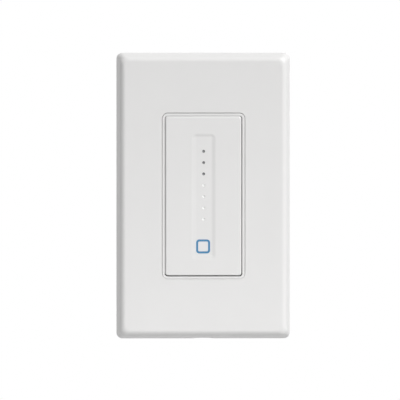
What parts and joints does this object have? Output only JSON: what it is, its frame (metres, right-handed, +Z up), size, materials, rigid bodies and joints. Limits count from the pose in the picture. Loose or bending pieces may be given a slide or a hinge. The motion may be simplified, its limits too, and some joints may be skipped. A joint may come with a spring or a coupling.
{
  "type": "wall dimmer switch",
  "caption": "Single-gang smart touch dimmer: white screwless wall plate, thin frame, press panel with a soft groove, dots and a lit square, metal strap and rear housing.",
  "frame": {"origin": "middle of the wall's surface behind the plate, on the strap's back face", "axes": "+Z up, +X to the right as seen from the room, +Y into the wall; the panel faces -Y"},
  "size_m": [0.0698, 0.0394, 0.115],
  "materials": {
    "plate_white": "satin moulded",
    "inner_white": "matte moulded",
    "frame_white": "satin moulded",
    "panel_white": "satin moulded",
    "icon_blue": "clear guide, lit blue",
    "dot_lit": "clear guide, lit white",
    "dot_dark": "clear guide, unlit",
    "board": "solder mask",
    "black_plastic": "moulded",
    "lamp": "moulded lamp",
    "strap_aluminium": "stamped",
    "housing_grey": "fine spark texture",
    "pad_rubber": "soft pad",
    "can_aluminium": "sleeved can",
    "copper_winding": "enamelled wire",
    "fuse_glass": "clear tube",
    "green_screw": "green lacquer",
    "brass": "bare",
    "zinc_screw": "zinc plated"
  },
  "bodies": {
    "device": {"bezel": "frame_white", "board_header": "black_plastic", "choke": "copper_winding", "filter_capacitor": "can_aluminium", "front_board": "board", "fuse": "fuse_glass", "ground_screw": "green_screw", "housing_screw_1": "zinc_screw", "housing_screw_2": "zinc_screw", "housing_screw_3": "zinc_screw", "housing_screw_4": "zinc_screw", "insulating_pad": "pad_rubber", "led_1": "lamp", "led_2": "lamp", "led_3": "lamp", "led_4": "lamp", "led_5": "lamp", "led_6": "lamp", "led_7": "lamp", "led_icon": "lamp", "light_baffle": "black_plastic", "main_board": "board", "mounting_screw_bottom": "zinc_screw", "mounting_screw_top": "zinc_screw", "power_transformer": "black_plastic", "power_transistor_left": "black_plastic", "power_transistor_right": "black_plastic", "radio_module": "board", "rear_housing": "housing_grey", "sub_plate": "inner_white", "sub_plate_screw_bottom": "zinc_screw", "sub_plate_screw_top": "zinc_screw", "tact_switch_body": "black_plastic", "terminal_clamp_1": "brass", "terminal_clamp_2": "brass", "terminal_clamp_3": "brass", "terminal_clamp_4": "brass", "terminal_screw_1": "zinc_screw", "terminal_screw_2": "zinc_screw", "terminal_screw_3": "zinc_screw", "terminal_screw_4": "zinc_screw", "wall_plate": "plate_white", "yoke": "strap_aluminium"},
    "panel": {"touch_panel": "panel_white", "icon_light_guide": "icon_blue", "light_pipe_1": "dot_dark", "light_pipe_2": "dot_dark", "light_pipe_3": "dot_dark", "light_pipe_4": "dot_lit", "light_pipe_5": "dot_lit", "light_pipe_6": "dot_lit", "light_pipe_7": "dot_lit"},
    "plunger": {"tact_plunger": "black_plastic"}
  },
  "joints": [
    {"name": "panel_press", "type": "hinge", "parent": "device", "child": "panel", "pos_m": [0, -0.0039, 0.02945], "axis": [1, 0, 0], "range_deg": [0, 0.5], "stiffness_Nm_per_rad": 4, "springref_deg": -0.57},
    {"name": "tact_travel", "type": "slide", "parent": "device", "child": "plunger", "axis": [0, 1, 0], "range_m": [0, 0.0005]}
  ],
  "couplings": [
    {"joint": "tact_travel", "follows": "panel_press", "m_per_rad": 0.05695}
  ]
}
